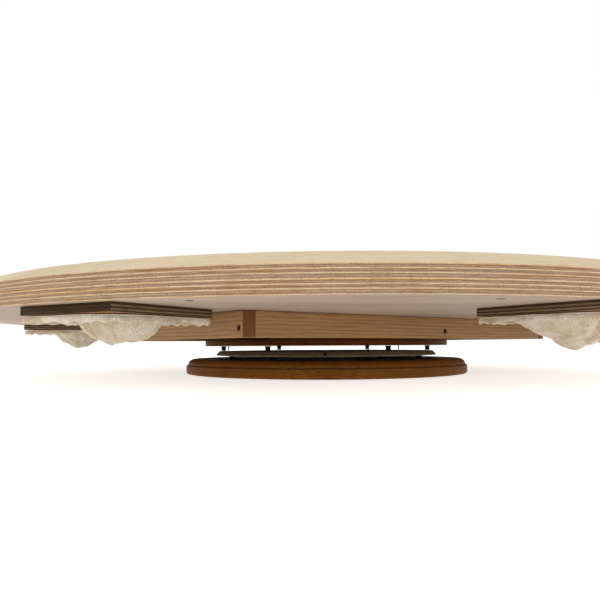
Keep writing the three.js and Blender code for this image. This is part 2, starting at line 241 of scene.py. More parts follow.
# Open-weave cotton gauze, washed: soft threads, a grainy surface that lets light through
def cottonGauze(name, look):
    sockets = {
        "Roughness": 0.9,
        "Specular IOR Level": 0.15,
        "Subsurface Weight": 0.55,
        "Subsurface Radius": (1.0, 0.85, 0.65),
        "Subsurface Scale": 1.6 * mm,
        "Sheen Weight": 0.15,
    }
    material, tree, shader = startMaterial(name, sockets)
    uv = addNode(tree, "UVMap", {"uv_map": "cut"}).outputs[0]
    wobble = addNode(tree, "TexNoise", {}, {"Vector": uv, "Scale": perMm(2.4), "Detail": 3}).outputs["Color"]
    pulled = addNode(
        tree, "VectorMath", {"operation": "MULTIPLY_ADD"}, {0: wobble, 1: (1.5 * mm, 1.5 * mm, 0), 2: uv}
    ).outputs[0]
    threads = []
    for direction in ("X", "Y"):  # drawn at about twice the real thread spacing, so that it shows
        threads.append(
            addNode(
                tree, "TexWave", {"wave_type": "BANDS", "bands_direction": direction},
                {"Vector": pulled, "Scale": math.pi * perMm(look["thread"]) / 10},
            ).outputs["Fac"]
        )
    weave = addNode(tree, "Math", {"operation": "MULTIPLY"}, {0: threads[0], 1: threads[1]}).outputs[0]
    slubs = addNode(tree, "TexNoise", {}, {"Vector": uv, "Scale": perMm(1.1), "Detail": 4}).outputs[0]
    cloth = addNode(tree, "Math", {"operation": "MULTIPLY_ADD"}, {0: weave, 1: 0.16, 2: slubs}).outputs[0]
    tone = addNode(tree, "ValToRGB", {"stops": look["tones"]}, {0: cloth}).outputs[0]
    broad = addNode(tree, "TexNoise", {}, {"Vector": uv, "Scale": perMm(18), "Detail": 2}).outputs[0]
    stain = addNode(
        tree, "ValToRGB", {"stops": [(0.35, look["shade"]), (0.6, "#ffffff")]}, {0: broad}
    ).outputs[0]
    mixed = addNode(
        tree, "Mix", {"data_type": "RGBA", "blend_type": "MULTIPLY"}, {0: 1.0, 6: tone, 7: stain}
    ).outputs[2]
    tree.links.new(mixed, shader.inputs["Base Color"])
    bumped(tree, shader, cloth, 0.14, 0.5)
    return material


birchPlyRim = plywoodEdge(
    "birchPlywoodSandedEdge",
    {
        "surface": {"Roughness": 0.62, "Specular IOR Level": 0.2},
        "repeat": 7.86,  # three pairs of plies, each 1.3 mm thick
        "waver": 0.14,
        "plies": [
            (0.0, "#cbb491"), (0.05, "#c6af8c"), (0.09, "#8f7660"), (0.19, "#9c826b"), (0.23, "#ad957a"),
            (0.27, "#968069"), (0.33, "#8a715b"), (0.36, "#c3ac88"), (0.41, "#cab392"), (0.45, "#9a816a"),
            (0.54, "#8d745e"), (0.59, "#a48b71"), (0.63, "#937b65"), (0.68, "#c7b08d"), (0.72, "#cbb694"),
            (0.76, "#927860"), (0.85, "#a0876e"), (0.89, "#896f5a"), (0.95, "#9b826a"), (0.99, "#cbb491"),
        ],
        "pore": "#cfc4b8",
        "streak": "#dbcec0",
        "cool": "#f0eddf",
        "warm": "#f7e6cd",
    },
    54,
)
birchBevel = veneer(
    "birchPlywoodSandedBevel",
    {"tones": [(0.3, "#c3b190"), (0.5, "#cab899"), (0.7, "#cfbea1")], "fleck": "#f2e8da"},
)
# the underside is a darker, greyer copy of the top veneer: painted shade
birchUndersidePaintedShade = veneer(
    "birchVeneerUnderside",
    {"tones": [(0.3, "#8f7c6b"), (0.45, "#988573"), (0.6, "#9f8b78"), (0.75, "#95806d")], "fleck": "#e6dfd8"},
)
birchTop = veneer(
    "birchVeneerTop",
    {"tones": [(0.3, "#c6b392"), (0.45, "#cebc9d"), (0.6, "#d3c3a6"), (0.75, "#c9b796")], "fleck": "#e4d8c6"},
)
plateEdge = {
    "surface": {"Roughness": 0.6, "Specular IOR Level": 0.1},
    "repeat": 5.8,
    "waver": 0.2,
    "plies": [
        (0.0, "#4a3922"), (0.17, "#3e2e1a"), (0.22, "#7d6750"), (0.33, "#836d56"), (0.38, "#42321e"),
        (0.53, "#493822"), (0.59, "#79634c"), (0.69, "#806a53"), (0.75, "#45341f"), (1.0, "#4b3a24"),
    ],
    "pore": "#b8aa9c",
    "streak": "#b8a898",
    "cool": "#ece4d8",
    "warm": "#fff0de",
}
plateEdgeLined = plywoodEdge("oiledPlywoodSideEdge", plateEdge, 48.2)
plateEdgeDark = plywoodEdge(  # these edges are darker and their plies hardly show
    "oiledPlywoodOuterEdge",
    plateEdge | {
        "plies": [
            (0.0, "#3d2d17"), (0.2, "#362711"), (0.28, "#46351d"), (0.4, "#33240f"), (0.55, "#3d2c16"),
            (0.62, "#4a3920"), (0.72, "#372812"), (1.0, "#3d2d17"),
        ]
    },
    48.2,
)
holeInsidePaintedShade = veneer(  # the pilot holes' insides are painted near black: painted shade in the recess
    "birchScorchedByDrill",
    {"tones": [(0.3, "#2b1d10"), (0.5, "#352515"), (0.7, "#241709")], "fleck": "#b0a090"},
)
plateFace = veneer(
    "oiledPlywoodFace",
    {"tones": [(0.3, "#7b5730"), (0.5, "#8a6439"), (0.7, "#77522c")], "fleck": "#b09a82"},
)
darkStainedPly = plywoodEdge(
    "darkStainedPlywood",
    {
        "surface": {"Roughness": 0.5, "Specular IOR Level": 0.04},
        "repeat": 5.8,
        "waver": 0.15,
        "plies": [(0.0, "#5c3410"), (0.4, "#5f3712"), (0.48, "#784c22"), (0.56, "#5e3611"), (1.0, "#58310f")],
        "pore": "#b8a48c",
        "streak": "#b8a48c",
        "cool": "#d6ccc0",
        "warm": "#fff0dc",
    },
    28.6,
)
planedPine = {
    "surface": {"Specular IOR Level": 0.25},
    "gloss": (0.5, 0.7),
    "drift": 40,
    "wander": 5,
    "ring": 2.1,
    "pith": (0.0, 0.011, 0.03),
    "tones": [(0.0, "#ac8c63"), (0.55, "#a8875d"), (0.85, "#9a7850"), (0.97, "#94724b"), (1.0, "#ac8c63")],
    "fibre": (0.03, 1, 1),
    "grainDark": "#d6c6b2",
    "patch": "#e8dccd",
    "relief": 0.05,
}
pineLong = solidWood("pinePlanedFace", planedPine)
pineEnd = solidWood(
    "pineSawnEndGrain",
    planedPine | {
        "tones": [(0.0, "#7a4f26"), (0.6, "#754a22"), (0.85, "#6a4019"), (1.0, "#784d24")],
        "fibre": (1, 1, 1),
        "grainDark": "#b8a48c",
    },
)
stainedPine = solidWood(
    "pineStainedAndLacquered",
    planedPine | {
        "surface": {"Specular IOR Level": 0.03},
        "gloss": (0.42, 0.55),
        "ring": 1.5,
        "pith": (0.0, 0.06, 0.09),
        "tones": [(0.0, "#8c5f2c"), (0.5, "#845827"), (0.85, "#6f481c"), (1.0, "#885b2a")],
        "grainDark": "#b8a48c",
    },
)
# its brown tint stands for the wood that the ring reflects: a painted reflection on the metal
aluminiumPaintedReflection = turnedFinish(
    "aluminiumTurnedAndAnodised",
    {"Metallic": 0.45, "Roughness": 0.5},
    [(0.35, "#8f7a5e"), (0.5, "#9c8567"), (0.65, "#826e53")],
    0.6,
    0.03,
)
blackSteel = turnedFinish(
    "steelBlackened",
    {"Metallic": 0.6, "Roughness": 0.5, "Specular IOR Level": 0.3},
    [(0.35, "#14110f"), (0.55, "#1e1a17"), (0.7, "#2a2521")],
    0.4,
    0.04,
)
chromeSteel = turnedFinish(
    "ballSteelPolished",
    {"Metallic": 1.0, "Roughness": 0.14},
    [(0.35, "#b9b9b5"), (0.65, "#c6c6c2")],
    0.8,
    0.005,
)
nylon = turnedFinish(
    "nylonMoulded",
    {"Roughness": 0.45, "Subsurface Weight": 0.1, "Subsurface Scale": 0.5 * mm},
    [(0.35, "#cfc9ba"), (0.65, "#dcd7c9")],
    1.2,
    0.02,
)
rubber = turnedFinish(
    "rubberMoulded",
    {"Roughness": 0.8, "Specular IOR Level": 0.25},
    [(0.35, "#0d0b0a"), (0.65, "#171412")],
    0.8,
    0.05,
)
gauze = cottonGauze(
    "cottonGauzeWashed",
    {
        "thread": 1.3,
        "tones": [(0.3, "#a59784"), (0.48, "#b2a593"), (0.6, "#beb3a2"), (0.76, "#cdc4b5")],
        "shade": "#e6dccb",
    },
)
gauzeHem = cottonGauze(
    "cottonGauzeTurnedHem",
    {
        "thread": 1.0,
        "tones": [(0.3, "#b3a899"), (0.48, "#bfb5a7"), (0.6, "#c8c0b3"), (0.76, "#d3ccc1")],
        "shade": "#dcd0bd",
    },
)
print("finishes ready")


# Rounds the corners of an outline: a point is (radius, height) or (radius, height, rounding), in mm
def eased(points, steps=4):
    made = []
    for count, (r, z, *rounding) in enumerate(points):
        if not rounding:
            made.append((r, z))
            continue
        here = Vector((r, z))
        before = (Vector(points[count - 1][:2]) - here).normalized()
        after = (Vector(points[(count + 1) % len(points)][:2]) - here).normalized()
        half = before.angle(after) / 2
        centre = here + (before + after).normalized() * (rounding[0] / math.sin(half))
        start = here + before * (rounding[0] / math.tan(half)) - centre
        end = here + after * (rounding[0] / math.tan(half)) - centre
        for step in range(steps + 1):
            out = start.lerp(end, step / steps).normalized() * rounding[0]
            made.append(tuple(centre + out))
    return made


# Turns an outline about +Z. An open outline starts and ends on the axis.
def lathe(points, sides, closed=False):
    shape = bmesh.new()
    verts = [shape.verts.new((r * mm, 0, z * mm)) for r, z in points]
    edges = [shape.edges.new(pair) for pair in zip(verts, verts[1:])]
    if closed:
        edges.append(shape.edges.new((verts[-1], verts[0])))
    bmesh.ops.spin(
        shape, geom=verts + edges, cent=(0, 0, 0), axis=(0, 0, 1), angle=math.tau, steps=sides, use_merge=True
    )
    bmesh.ops.remove_doubles(shape, verts=shape.verts, dist=0.001 * mm)
    bmesh.ops.recalc_face_normals(shape, faces=shape.faces)
    return shape


def meshFrom(shape, name):
    mesh = bpy.data.meshes.new(name)
    shape.to_mesh(mesh)
    shape.free()
    return mesh


def smooth(piece, angle=32):
    piece.data.shade_smooth()
    piece.data.set_sharp_from_angle(angle=math.radians(angle))


# Links a new piece at its place, gives it its finishes, ties it to its body and hides the nodes it stands for
def newPiece(mesh, body, materials, stands=(), place=None):
    piece = bpy.data.objects.new(mesh.name, mesh)
    bpy.context.scene.collection.objects.link(piece)
    if place is not None:
        piece.matrix_world = place
    for material in materials:
        mesh.materials.append(material)
    smooth(piece)
    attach(piece, body)
    if stands:
        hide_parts(*stands)
    return piece


# Puts a piece's modifiers into its mesh
def settle(piece):
    bpy.context.view_layer.update()
    graph = bpy.context.evaluated_depsgraph_get()
    mesh = bpy.data.meshes.new_from_object(piece.evaluated_get(graph))
    piece.modifiers.clear()
    piece.data = mesh


# Cuts holes: each is a closed shape and its place
def cutHoles(piece, holes):
    cutters = []
    for shape, place in holes:
        cutter = bpy.data.objects.new("cutter", meshFrom(shape, "cutter"))
        bpy.context.scene.collection.objects.link(cutter)
        cutter.matrix_world = place
        cutters.append(cutter)
        cut = piece.modifiers.new("hole", "BOOLEAN")
        cut.operation = "DIFFERENCE"
        cut.solver = "EXACT"
        cut.object = cutter
    settle(piece)
    smooth(piece)
    for cutter in cutters:
        bpy.data.objects.remove(cutter)


# Matrix that turns about the axis from the front towards the right, after a move in mm
def turnedPlace(angle, x=0, y=0, z=0):
    return Matrix.Rotation(math.radians(angle), 4, "Z") @ Matrix.Translation(Vector((x, y, z)) * mm)


def middleOf(node):
    low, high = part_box(node)
    return (low + high) / 2 / mm


def levelsOf(node):
    low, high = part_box(node)
    return low.z / mm, high.z / mm


disc = {
    "bevelHeight": 8.4,
    "bevelInset": 17.6,
    "arris": 0.4,
    "topArris": 1.6,
    "sides": 400,
    "pilotRadius": 2.8,
    "pilotDepth": 8,
    "pilotInset": 23.1,
    "pilotAngles": [-13.2, 17.2],
    "underRings": (120, 240, 320),  # radii that keep the flat faces even
    "topRings": (300, 200, 100),
    "edgeSlack": 0.5,  # a face this near the rim belongs to it
}
discLow, discHigh = levelsOf("top_disc")
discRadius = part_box("top_disc")[1].x / mm
discOutline = eased(
    [(0, discLow)]
    + [(r, discLow) for r in disc["underRings"]]
    + [(discRadius, discLow, disc["arris"])]
    + [(discRadius, discHigh - disc["bevelHeight"], disc["arris"])]
    + [(discRadius - disc["bevelInset"], discHigh, disc["topArris"])]
    + [(r, discHigh) for r in disc["topRings"]]
    + [(0, discHigh)]
)
discMesh = meshFrom(lathe(discOutline, disc["sides"]), "disc_board")
rimTop = (discHigh - disc["bevelHeight"] - disc["arris"] / 2) * mm
# faces take the rim, bevel, underside or top finish; the underside's darker copy of the veneer is painted
# shade
for face in discMesh.polygons:
    middle = face.center
    if math.hypot(middle.x, middle.y) > (discRadius - disc["edgeSlack"]) * mm and middle.z < rimTop:
        face.material_index = 0
    elif face.normal.z > 0.98:
        face.material_index = 3
    elif face.normal.z > 0:
        face.material_index = 1
    else:
        face.material_index = 2
discPiece = newPiece(
    discMesh, "table", [birchPlyRim, birchBevel, birchUndersidePaintedShade, birchTop], ["top_disc"]
)
cutHoles(
    discPiece,
    [
        (
            lathe(
                [(0, -1), (disc["pilotRadius"], -1)]
                + [(disc["pilotRadius"], disc["pilotDepth"]), (0, disc["pilotDepth"])],
                24,
            ),
            turnedPlace(angle, y=disc["pilotInset"] - discRadius, z=discLow),
        )
        for angle in disc["pilotAngles"]
    ],
)
# the pilot holes' walls and floors take the near-black finish, which is painted shade
discPiece.data.materials.append(holeInsidePaintedShade)
for face in discPiece.data.polygons:
    middle = face.center
    if middle.z > (discLow + 0.2) * mm and math.hypot(middle.x, middle.y) < (discRadius - 12) * mm:
        if middle.z < (discLow + disc["pilotDepth"] + 0.5) * mm:
            face.material_index = 4
print("disc turned")

base = {
    "band": 9,
    "corner": 2.2,
    "chamfer": 0.9,
    "shoulderInset": 1.8,
    "quirkDepth": 0.8,
    "quirkWidth": 0.8,
    "crown": 7,
    "sides": 320,
}
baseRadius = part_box("base_board")[1].x / mm
baseTop = levelsOf("base_board")[1]
shoulder = baseRadius - base["shoulderInset"]
quirkTop = base["band"] + base["quirkWidth"]
crown = [
    (
        shoulder - base["crown"] * (1 - math.cos(math.radians(7.5 * step))),
        quirkTop + (baseTop - quirkTop) * math.sin(math.radians(7.5 * step)),
    )
    for step in range(13)
]
baseOutline = eased(
    [(0, 0), (70, 0), (130, 0), (baseRadius, 0, base["corner"])]
    + [(baseRadius, base["band"], base["chamfer"])]
    + [(shoulder - base["quirkDepth"], base["band"]), (shoulder - base["quirkDepth"], quirkTop)]
    + [(shoulder - 0.15, quirkTop)]
    + crown[1:]
    + [(120, baseTop), (60, baseTop), (0, baseTop)]
)
baseMesh = meshFrom(lathe(baseOutline, base["sides"]), "base_round")
newPiece(baseMesh, "base", [stainedPine], ["base_board"])

upper = {"arris": 0.5, "sides": 256, "screwInset": 37}
boardLow, boardHigh = levelsOf("upper_board")
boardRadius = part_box("upper_board")[1].x / mm
boardOutline = eased(
    [(0, boardLow), (60, boardLow), (boardRadius, boardLow, upper["arris"])]
    + [(boardRadius, boardHigh, upper["arris"]), (60, boardHigh), (0, boardHigh)]
)
upperMesh = meshFrom(lathe(boardOutline, upper["sides"]), "upper_round")
upperPiece = newPiece(upperMesh, "table", [darkStainedPly], ["upper_board"])
print("base and upper board turned")

bearing = {
    "split": 108,  # radius of the ball row
    "gap": 2,
    "fixedWidth": 16,
    "lip": 1.2,
    "flare": 3.3,  # how much wider the lower edge is
    "groove": 1.95,
    "arris": 0.35,
    "sides": 256,
    "holeRadius": 1.9,
    "holeReach": 30,
}
plug = {"radius": 1.6, "pitch": 0.5, "socket": 0.85, "socketDepth": 1.4}
outwards = Matrix.Rotation(math.pi / 2, 4, "X")  # +Z turned to the front
ringLow, ringHigh = levelsOf("bearing_outer_ring")
ballLevel = (ringLow + ringHigh) / 2
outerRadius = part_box("bearing_outer_ring")[1].x / mm
outerFace = bearing["split"] + bearing["gap"] / 2
innerFace = bearing["split"] - bearing["gap"] / 2


def grooveArc(middle):
    half = math.degrees(math.acos(bearing["gap"] / 2 / bearing["groove"]))
    turns = [math.radians(middle + half - 2 * half * step / 8) for step in range(9)]
    return [
        (bearing["split"] + bearing["groove"] * math.cos(a), ballLevel + bearing["groove"] * math.sin(a))
        for a in turns
    ]


outerOutline = eased(
    [(outerFace, ringLow, 0.2), (outerRadius, ringLow, 0.3), (outerRadius, ringLow + bearing["lip"], 0.5)]
    + [(outerRadius - bearing["flare"], ringHigh, bearing["arris"]), (outerFace, ringHigh, 0.2)]
    + grooveArc(0)
)
outerPiece = newPiece(
    meshFrom(lathe(outerOutline, bearing["sides"], True), "bearing_turning_ring"),
    "table",
    [aluminiumPaintedReflection],
    ["bearing_outer_ring"],
)
plugMiddle = middleOf("fill_plug")
plugHalf = (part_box("fill_plug")[1].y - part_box("fill_plug")[0].y) / 2 / mm
cutHoles(
    outerPiece,
    [
        (
            lathe(
                [(0, 0), (bearing["holeRadius"], 0)]
                + [(bearing["holeRadius"], bearing["holeReach"]), (0, bearing["holeReach"])],
                24,
            ),
            Matrix.Translation(Vector((0, -bearing["split"], ballLevel)) * mm) @ outwards,
        )
    ],
)
innerOutline = eased(
    [(innerFace - bearing["fixedWidth"], ringLow, bearing["arris"]), (innerFace, ringLow, 0.2)]
    + grooveArc(180)
    + [(innerFace, ringHigh, 0.2), (innerFace - bearing["fixedWidth"], ringHigh, bearing["arris"])]
)
newPiece(
    meshFrom(lathe(innerOutline, bearing["sides"], True), "bearing_fixed_ring"),
    "base",
    [aluminiumPaintedReflection],
    ["bearing_inner_ring"],
)


# A grub screw: chamfered ends and a hexagon socket in the outer one
def grubScrew(radius, length):
    outline = [(0, -length), (radius - 0.3, -length), (radius, -length + 0.3)]
    pitch = plug["pitch"]
    turns = int((length - 1) / pitch)
    for turn in range(turns):
        start = -length + 0.4 + turn * pitch
        outline += [(radius - 0.16, start + pitch * 0.3), (radius, start + pitch * 0.7)]
    return lathe(outline + [(radius, -0.3), (radius - 0.3, 0), (0, 0)], 32)


plugPlace = Matrix.Translation((plugMiddle + Vector((0, -plugHalf, 0))) * mm) @ outwards
plugPiece = newPiece(
    meshFrom(grubScrew(plug["radius"], 2 * plugHalf), "filling_plug"),
    "table",
    [blackSteel],
    ["fill_plug"],
    plugPlace,
)
deep, wide = -plug["socketDepth"], plug["socket"]
cutHoles(plugPiece, [(lathe([(0, deep), (wide, deep), (wide, 1), (0, 1)], 6), plugPlace)])

ball = {"count": 12, "radius": 1.6, "cage": 0.9, "pocket": 1.85}
ballTurn = 360 / ball["count"]
cageLow, cageHigh = levelsOf("ball_cage")
cageOutline = eased(
    [
        (bearing["split"] - ball["cage"] / 2, cageLow, 0.15),
        (bearing["split"] + ball["cage"] / 2, cageLow, 0.15),
        (bearing["split"] + ball["cage"] / 2, cageHigh, 0.15),
        (bearing["split"] - ball["cage"] / 2, cageHigh, 0.15),
    ],
    2,
)
cagePiece = newPiece(
    meshFrom(lathe(cageOutline, 192, True), "ball_cage_band"), "cage", [nylon], ["ball_cage"]
)
cutHoles(
    cagePiece,
    [
        (
            lathe([(0, -2), (ball["pocket"], -2), (ball["pocket"], 2), (0, 2)], 24),
            turnedPlace(ballTurn * count, y=-bearing["split"], z=ballLevel) @ outwards,
        )
        for count in range(ball["count"])
    ],
)
for count in range(ball["count"]):
    shape = bmesh.new()
    bmesh.ops.create_icosphere(shape, subdivisions=4, radius=ball["radius"] * mm)
    newPiece(
        meshFrom(shape, f"bearing_ball_{count + 1}"),
        "cage",
        [chromeSteel],
        [f"ball_{count + 1}"],
        turnedPlace(ballTurn * count, y=-bearing["split"], z=ballLevel),
    )
print("bearing made")

pad = {"radius": 3.4, "round": 0.5, "foot": 0.25, "waist": 0.15}
spacer = {"radius": 2.9, "waist": 2.45, "flange": 0.8, "round": 0.2}
tie = {"root": 0.62, "crest": 0.8, "pitch": 0.6}
for count in range(6):
    node = f"foot_pad_{count + 1}"
    low, high = levelsOf(node)
    tall = high - low
    outline = eased(
        [(0, 0), (pad["radius"], 0, pad["foot"]), (pad["radius"] - pad["waist"], tall / 2)]
        + [(pad["radius"], tall, pad["round"]), (0, tall)]
    )
    middle = middleOf(node)
    newPiece(
        meshFrom(lathe(outline, 48), f"rubber_pad_{count + 1}"),
        "base",
        [rubber],
        [node],
        Matrix.Translation(Vector((middle.x, middle.y, low)) * mm),
    )
    node = f"spacer_{count + 1}"
    low, high = levelsOf(node)
    tall = high - low
    wide, waist, flange = spacer["radius"], spacer["waist"], spacer["flange"]
    outline = eased(
        [(0, 0), (wide, 0, spacer["round"]), (wide, flange, spacer["round"]), (waist, flange + 0.3, 0.3)]
        + [(waist, tall - flange - 0.3, 0.3), (wide, tall - flange, spacer["round"])]
        + [(wide, tall, spacer["round"]), (0, tall)]
    )
    middle = middleOf(node)
    newPiece(
        meshFrom(lathe(outline, 48), f"spacer_post_{count + 1}"),
        "table",
        [blackSteel],
        [node],
        Matrix.Translation(Vector((middle.x, middle.y, low)) * mm),
    )
for count in range(2):
    node = f"tie_screw_{count + 1}"
    low, high = levelsOf(node)
    outline = [(0, 0), (tie["root"], 0)]
    turns = int((high - low) / tie["pitch"])
    for turn in range(turns):
        outline += [(tie["crest"], (turn + 0.35) * tie["pitch"])]
        outline += [(tie["crest"], (turn + 0.5) * tie["pitch"])]
        outline += [(tie["root"], (turn + 0.95) * tie["pitch"])]
    outline += [(tie["root"], high - low), (0, high - low)]
    middle = middleOf(node)
    newPiece(
        meshFrom(lathe(outline, 24), f"thin_screw_{count + 1}"),
        "table",
        [blackSteel],
        [node],
        Matrix.Translation(Vector((middle.x, middle.y, low)) * mm),
    )
print("pads and spacers made")

pine = {
    "length": 396,
    "width": 288,
    "height": 19,
    "thick": 10.5,
    "turn": 40.5,
    "crossOffset": 24.5,
    "arris": 0.5,
    "screwLevel": 0.36,  # share of the boards' height
}
screw = {
    "head": 2.3,
    "shank": 1.2,
    "length": 24,
    "boardLength": 17.2,
    "sink": 1,
    "play": 0.3,
    "pitch": 1.3,
    "cross": 1.1,
}
frameLow, frameHigh = levelsOf("frame_rail_front")
frameMiddle = (frameLow + frameHigh) / 2
screwLevel = frameLow + pine["height"] * pine["screwLevel"]
endFace = pine["length"] / 2
sideFace = pine["width"] / 2
halfThick = pine["thick"] / 2


# A countersunk wood screw along -Z with its head's face at the origin
def woodScrew(length):
    shank, head = screw["shank"], screw["head"]
    neck = head - shank
    outline = [(0, -length), (0.12, -length)]
    plain = -neck - length * 0.3  # the plain shank ends here
    turns = int((length + plain) / screw["pitch"])
    for turn in range(turns):
        start = -length + turn * screw["pitch"]
        taper = min(1, 0.35 + turn * 0.3)
        outline += [(shank * 0.68 * taper, start + screw["pitch"] * 0.45)]
        outline += [(shank * taper, start + screw["pitch"] * 0.7)]
        outline += [(shank * 0.68 * taper, start + screw["pitch"] * 0.95)]
    outline += [(shank * 0.9, plain + 0.4), (shank * 0.9, -neck)]
    outline += [(head - 0.15, -0.15), (head - 0.15, 0), (0, 0)]
    return lathe(outline, 32)


# The tapered cross recess of that screw
def crossRecess(length):
    shape = bmesh.new()
    corners = []
    arm, slot = screw["cross"] * 1.2, screw["cross"] * 0.28
    plan = [(slot, slot), (slot, arm), (-slot, arm), (-slot, slot), (-arm, slot), (-arm, -slot)]
    plan += [(-slot, -slot), (-slot, -arm), (slot, -arm), (slot, -slot), (arm, -slot), (arm, slot)]
    for level, share in ((0.3, 1.05), (-length, 0.4)):
        corners.append([shape.verts.new((x * share * mm, y * share * mm, level * mm)) for x, y in plan])
    shape.faces.new(corners[0])
    shape.faces.new(corners[1][::-1])
    for count in range(len(plan)):
        after = (count + 1) % len(plan)
        shape.faces.new((corners[0][count], corners[1][count], corners[1][after], corners[0][after]))
    bmesh.ops.recalc_face_normals(shape, faces=shape.faces)
    return shape


# The hole for it, open above the head
def screwHole(length):
    head = screw["head"] + screw["play"]
    shank = screw["shank"] + screw["play"]
    deep = length + screw["play"]
    neck = head - shank + screw["play"]
    above = screw["sink"] + 1
    outline = [(0, -deep), (shank, -deep), (shank, -neck), (head, -screw["play"])]
    return lathe(outline + [(head, above), (0, above)], 32)


def drivenPlace(at, drive):
    turn = Vector((0, 0, -1)).rotation_difference(Vector(drive)).to_matrix().to_4x4()
    return turnedPlace(pine["turn"]) @ Matrix.Translation(Vector(at) * mm) @ turn


boardScrewReach = math.sqrt((boardRadius - upper["screwInset"]) ** 2 - pine["crossOffset"] ** 2)
boardScrewFace = boardLow + screw["sink"]
driven = []  # node, place, length and the boards that it passes through
for count, (sx, sy) in enumerate([(-1, -1), (-1, 1), (1, -1), (1, 1)]):
    at = (sx * (endFace - screw["sink"]), sy * (sideFace - halfThick), screwLevel)
    boards = ["end_left" if sx < 0 else "end_right", "rail_front" if sy < 0 else "rail_back"]
    driven.append((f"corner_screw_{count + 1}", drivenPlace(at, (-sx, 0, 0)), screw["length"], boards))
for sy, side in ((-1, "front"), (1, "back")):
    at = (pine["crossOffset"], sy * (sideFace - screw["sink"]), screwLevel)
    place = drivenPlace(at, (0, -sy, 0))
    driven.append((f"cross_screw_{side}", place, screw["length"], [f"rail_{side}", "cross"]))
for count, side in enumerate((-1, 1)):
    at = (pine["crossOffset"], side * boardScrewReach, boardScrewFace)
    place = drivenPlace(at, (0, 0, 1))
    driven.append((f"board_screw_{count + 1}", place, screw["boardLength"], ["cross", "upper"]))

for node, place, length, _ in driven:
    made = newPiece(
        meshFrom(woodScrew(length), f"wood_{node}"), "table", [blackSteel], [node], place
    )
    cutHoles(made, [(crossRecess(1.3), place)])
cutHoles(
    upperPiece,
    [(screwHole(length), place) for _, place, length, boards in driven if "upper" in boards],
)


# A planed board lying along its own X, its arrises eased, the sawn ends in their own finish
def plank(name, node, length, x, y, across):
    shape = bmesh.new()
    bmesh.ops.create_cube(shape, size=1)
    bmesh.ops.scale(shape, vec=Vector((length, pine["thick"], pine["height"])) * mm, verts=shape.verts)
    bmesh.ops.bevel(
        shape, geom=shape.edges[:], offset=pine["arris"] * mm, segments=3, profile=0.5, affect="EDGES"
    )
    mesh = meshFrom(shape, node + "_board")
    for face in mesh.polygons:
        face.material_index = 1 if abs(face.normal.x) > 0.8 else 0
    place = turnedPlace(pine["turn"], x, y, frameMiddle)
    if across:
        place = place @ Matrix.Rotation(math.pi / 2, 4, "Z")
    made = newPiece(mesh, "table", [pineLong, pineEnd], [node], place)
    cutHoles(made, [(screwHole(deep), spot) for _, spot, deep, boards in driven if name in boards])


railLength = pine["length"] - 2 * pine["thick"] - 2 * seat
crossLength = pine["width"] - 2 * pine["thick"] - 2 * seat
plank("end_left", "frame_end_left", pine["width"], halfThick - endFace, 0, True)
plank("end_right", "frame_end_right", pine["width"], endFace - halfThick, 0, True)
plank("rail_front", "frame_rail_front", railLength, 0, halfThick - sideFace, False)
plank("rail_back", "frame_rail_back", railLength, 0, sideFace - halfThick, False)
plank("cross", "frame_crosspiece", crossLength, pine["crossOffset"], 0, True)
print("frame joined")

plate = {
    "angles": [-26.8, 33.5, 83, 153.2, 213.5, 263],
    "size": (80, 90, 5.5),  # across, along the radius and up, mm
    "corner": 1.1,
    "arris": 0.35,
}
plateLow, plateHigh = levelsOf("plate_1")
for count, facing in enumerate(plate["angles"]):
    shape = bmesh.new()
    bmesh.ops.create_cube(shape, size=1)
    bmesh.ops.scale(shape, vec=Vector(plate["size"]) * mm, verts=shape.verts)
    upright = [edge for edge in shape.edges if abs(edge.verts[0].co.z - edge.verts[1].co.z) > mm]
    bmesh.ops.bevel(
        shape, geom=upright, offset=plate["corner"] * mm, segments=4, profile=0.5, affect="EDGES"
    )
    level = [edge for edge in shape.edges if edge.calc_face_angle(0) > 1.2]
    bmesh.ops.bevel(
        shape, geom=level, offset=plate["arris"] * mm, segments=2, profile=0.5, affect="EDGES"
    )
    bmesh.ops.translate(shape, vec=Vector((0, 0, (plateLow + plateHigh) / 2)) * mm, verts=shape.verts)
    middle = middleOf(f"plate_{count + 1}")
    mesh = meshFrom(shape, f"plate_board_{count + 1}")
    for face in mesh.polygons:
        if abs(face.normal.z) > 0.8:
            face.material_index = 2
        else:
            face.material_index = 1 if abs(face.normal.y) > 0.7 else 0
    spot = Matrix.Translation(Vector((middle.x, middle.y, 0)) * mm)
    place = spot @ Matrix.Rotation(math.radians(facing), 4, "Z")
    finishes = [plateEdgeLined, plateEdgeDark, plateFace]
    newPiece(mesh, "table", finishes, [f"plate_{count + 1}"], place)
print("plates cut")

bag = {
    "half": (39.2, 44.2),  # hem's half size across and along the plate, mm
    "flat": (92, 102),  # taken as the cut, worked back from the hung cloth's area, mm
    "cells": (60, 68),
    "sheet": 0.5,  # thickness
    "drop": 1.6,  # how far the flat part hangs below the plate
    "enlarge": 10,  # the simulation behaves best with cloth about a metre wide
    "frames": 16,
    "cap": 2.5,  # most a point may move
    "slack": -0.06,  # extra cloth that makes the small creases
    "edgeHeld": 0.93,  # the cloth outside this share of its half size can't move
    "heldFrom": 0.7,  # and it is held less and less inwards to here
    "heldBand": 0.23,
    "heldMiddle": 0.25,
    "heldRise": 0.6,
    "apart": 2.0,  # distance between the cloths while they settle, m
}
